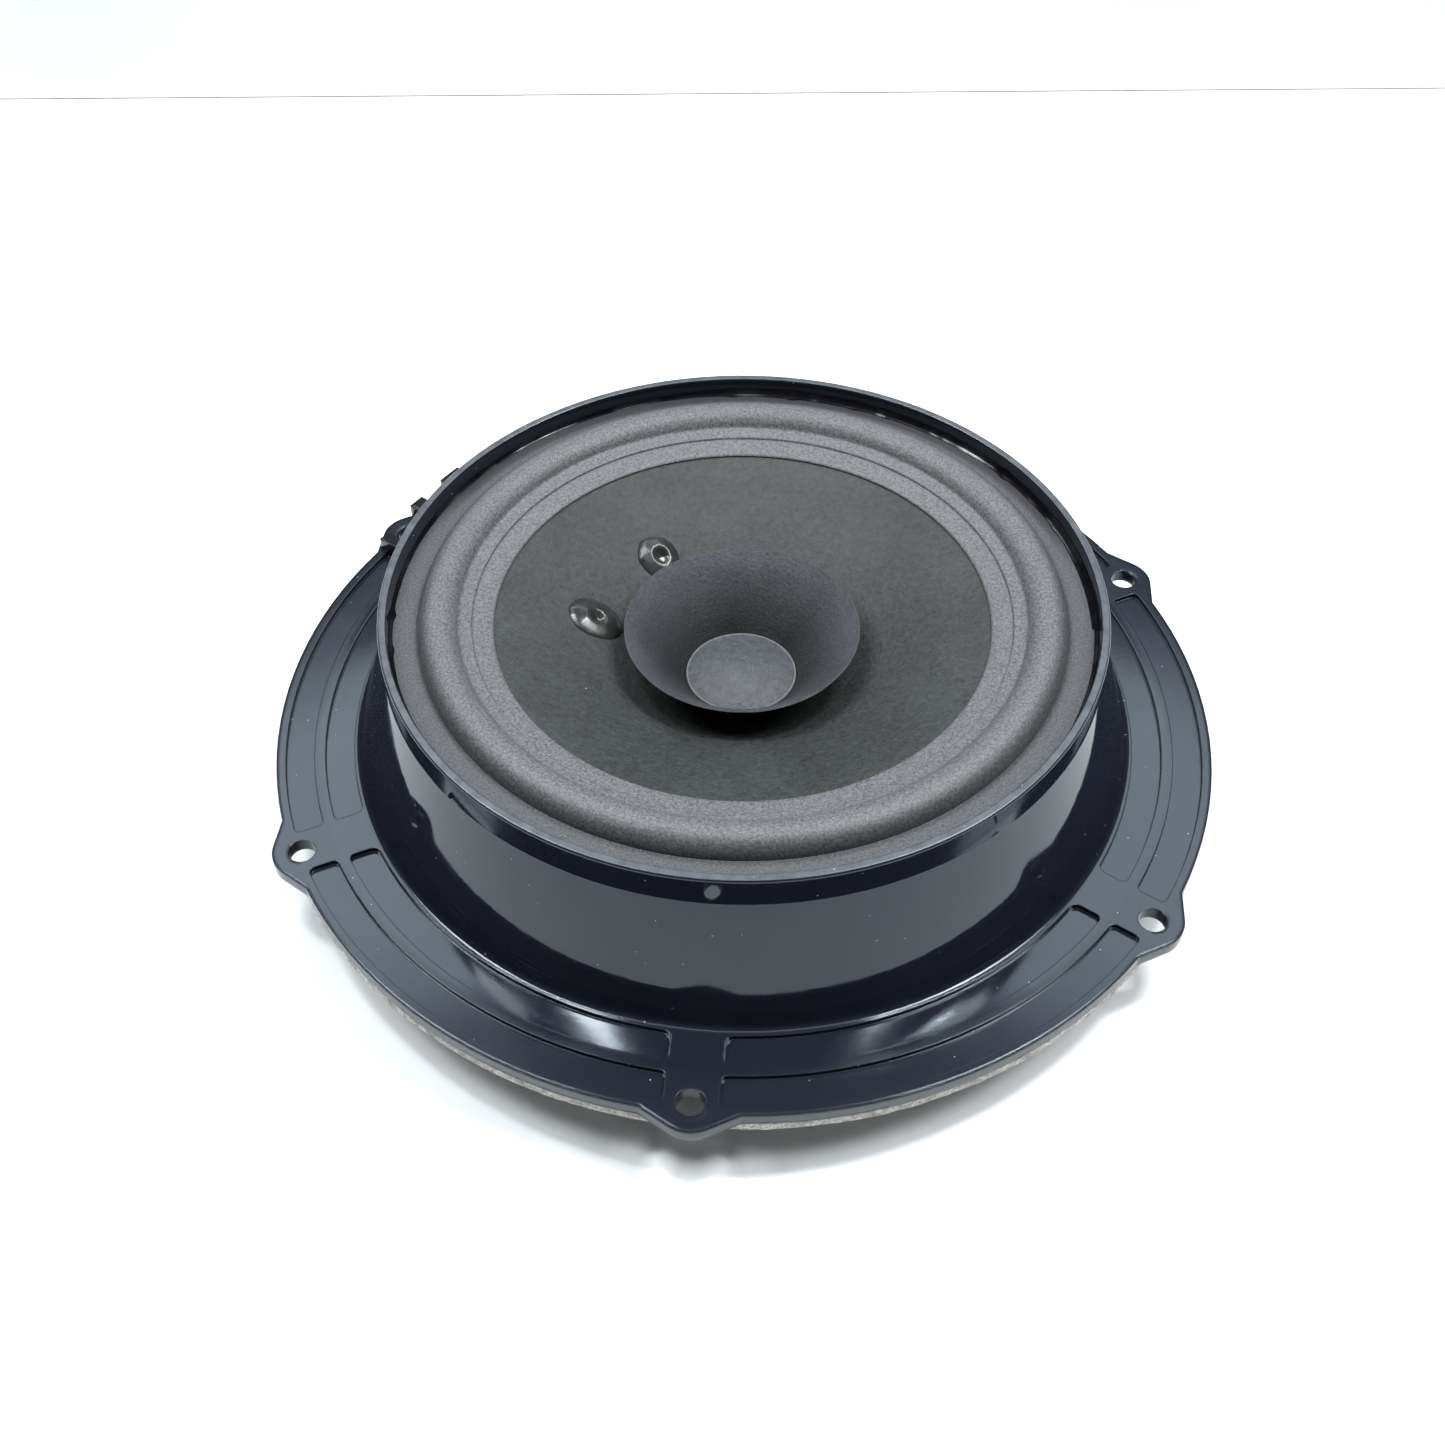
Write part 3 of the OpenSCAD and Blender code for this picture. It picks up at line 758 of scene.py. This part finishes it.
def make_coil_tail(side, length, name, node):
    """Low ridge of glue that carries the coil's wire up the cone to its dot."""
    out, across = dot_axes(side)
    start_r, steps, sides = 17.5, 60, 12
    points = []
    for i in range(steps + 1):
        t = i / steps
        r = start_r + (length + 3.0) * t
        sway = 0.35 * wander(t * 2.5, 2.0, 1.0 + side)
        half = 1.15 + 0.9 * t ** 2 + 0.25 * wander(t * 3, 3.0, 6.0 + side)
        for j in range(sides + 1):
            u = -1 + 2 * j / sides
            x, y = out * r + across * (sway + half * u)
            points.append((x, y, cone_height(x, y) + 0.85 * math.sqrt(max(0, 1 - u * u)) - 0.02))
        for u in (1, -1):
            x, y = out * r + across * (sway + half * u)
            points.append((x, y, cone_height(x, y) - 0.3))
    piece = mesh_object(name, points, tube_faces(steps + 1, sides + 3), 60)
    dress(piece, "dot_glue", CONE_BODY, [node])


# ---------------------------------------------------------------------------
# Soft parts behind the cone
# ---------------------------------------------------------------------------

def make_spider():
    """Corrugated cloth disc between the former and its seat."""
    waves, amplitude, cloth, middle = 4, 1.2, 0.45, SPIDER_Z + 0.5
    front = [(12.96, SPIDER_Z + 1.9), (13.25, SPIDER_Z + 1.85), (13.45, SPIDER_Z + 1.2),
             (13.8, SPIDER_Z + 0.6)]
    for f in np.linspace(0, 1, 97):
        front.append((15.2 + 20.2 * f, middle + amplitude * math.sin(TURN * waves * f)))
    front += [(36.2, middle), (38.85, middle)]
    piece = revolve("spider_cloth", shell(front, cloth), 240, smooth_angle=60)
    dress(piece, "spider_cloth", replaces=["spider"])
    blend_round(piece)


def lead_path(side, blade_y):
    """The lead's way from its dot on the cone, through one arc, down to its blade."""
    bend, blade_x = 60.0, 84.6
    a = DOT_R * np.array([math.cos(math.radians(side * DOT_ANGLE)),
                          math.sin(math.radians(side * DOT_ANGLE))])
    b = np.array([blade_x, blade_y])
    high, low = 37.9, BLADE_Z - 0.55
    reach = np.linalg.norm(b - a)
    along = (b - a) / reach
    chord = math.hypot(reach, low - high)
    h = math.sqrt(bend ** 2 - chord ** 2 / 4)
    cx = reach / 2 + (high - low) / chord * h
    cz = (high + low) / 2 + reach / chord * h
    start = math.atan2(high - cz, -cx)
    end = math.atan2(low - cz, reach - cx)
    turn = math.radians(TERMINAL_ANGLE)
    path = [(a[0], a[1], z) for z in np.linspace(41.0, high + 0.6, 8)]
    for angle in np.linspace(start, end, 120):
        x = cx + bend * math.cos(angle)
        path.append((a[0] + along[0] * x, a[1] + along[1] * x, cz + bend * math.sin(angle)))
    return [(x * math.cos(turn) - y * math.sin(turn), x * math.sin(turn) + y * math.cos(turn), z)
            for x, y, z in path]


def make_lead(side, blade_y, name, node):
    """Braided lead, swept along the CAD route in one arc from the cone down to its terminal."""
    path = [Vector(p) for p in lead_path(side, blade_y)]
    sides, wraps, radius = 16, 0.9, 0.46
    points, shares = [], []
    travelled = 0.0
    for i, p in enumerate(path):
        ahead = (path[min(i + 1, len(path) - 1)] - path[max(i - 1, 0)]).normalized()
        one = ahead.cross(Vector((0.3, 0.9, 0.1))).normalized()
        two = ahead.cross(one)
        travelled += (p - path[i - 1]).length if i else 0
        for j in range(sides):
            theta = TURN * j / sides
            cross = max(math.sin(4 * theta + wraps * travelled * 3),
                        math.sin(4 * theta - wraps * travelled * 3))
            r = radius * (1 + 0.10 * cross)
            points.append(tuple(p + r * (math.cos(theta) * one + math.sin(theta) * two)))
            shares.append(i / (len(path) - 1))
    piece = mesh_object(name, points, tube_faces(len(path), sides), 70)
    dress(piece, "lead_braid", replaces=[node])
    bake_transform(piece)
    smoothstep(0.08, 0.98, np.array(shares))


def make_gasket():
    """Foam ring with a coarse cut edge and a notch round each screw hole."""
    inner, outer, low, high = 94.0, 110.9, 13.22, 16.38
    notch = 7.0

    def change(section, angle):
        rough = 0.13 * wander(angle, 75, 2.0, 3) + 0.12 * wander(angle, 9, 6.0)
        section[:, 0] += np.where(section[:, 0] > 105, rough, 0)
        section[:, 1] += np.where(section[:, 1] < 13.9, 0.10 * wander(angle, 45, 5.0, 3) + 0.10, 0)
        away = (math.degrees(angle) % 60 - 30) * math.pi / 180
        if abs(math.sin(away)) * HOLE_R < notch:
            edge = HOLE_R * math.cos(away) - math.sqrt(notch ** 2 - (HOLE_R * math.sin(away)) ** 2)
            outside = section[:, 0] > edge
            section[outside, 0] = edge - 0.15 + 0.01 * (section[outside, 0] - edge) + rough * 0.3
        return section

    outline = [(inner, high), (outer, high), (outer + 0.10, 15.9), (outer + 0.16, 15.1),
               (outer + 0.12, 14.3), (outer - 0.08, 13.7), (outer - 0.45, low), (107, low),
               (103, low), (98, low), (inner + 0.4, low + 0.1), (inner - 0.1, 14.8)]
    piece = revolve("foam_gasket", outline, 1440, change, 50)
    dress(piece, "foam", CHASSIS, ["gasket"])


make_camera()
make_stage()
make_lights()
dress_cad_nodes()
make_surround()
make_surround_glue()
make_cone()
make_whizzer()
make_dust_cap()
make_glue_dot(1, 5.7, 3.2, "glue_mound_left", "glue_dot_left")
make_glue_dot(-1, 5.0, 0.8, "glue_mound_right", "glue_dot_right")
make_coil_tail(1, 13.1, "tail_ridge_left", "coil_tail_left")
make_coil_tail(-1, 13.8, "tail_ridge_right", "coil_tail_right")
make_spider()
make_lead(1, BLADE_Y[0], "braid_left", "lead_left")
make_lead(-1, BLADE_Y[1], "braid_right", "lead_right")
make_gasket()
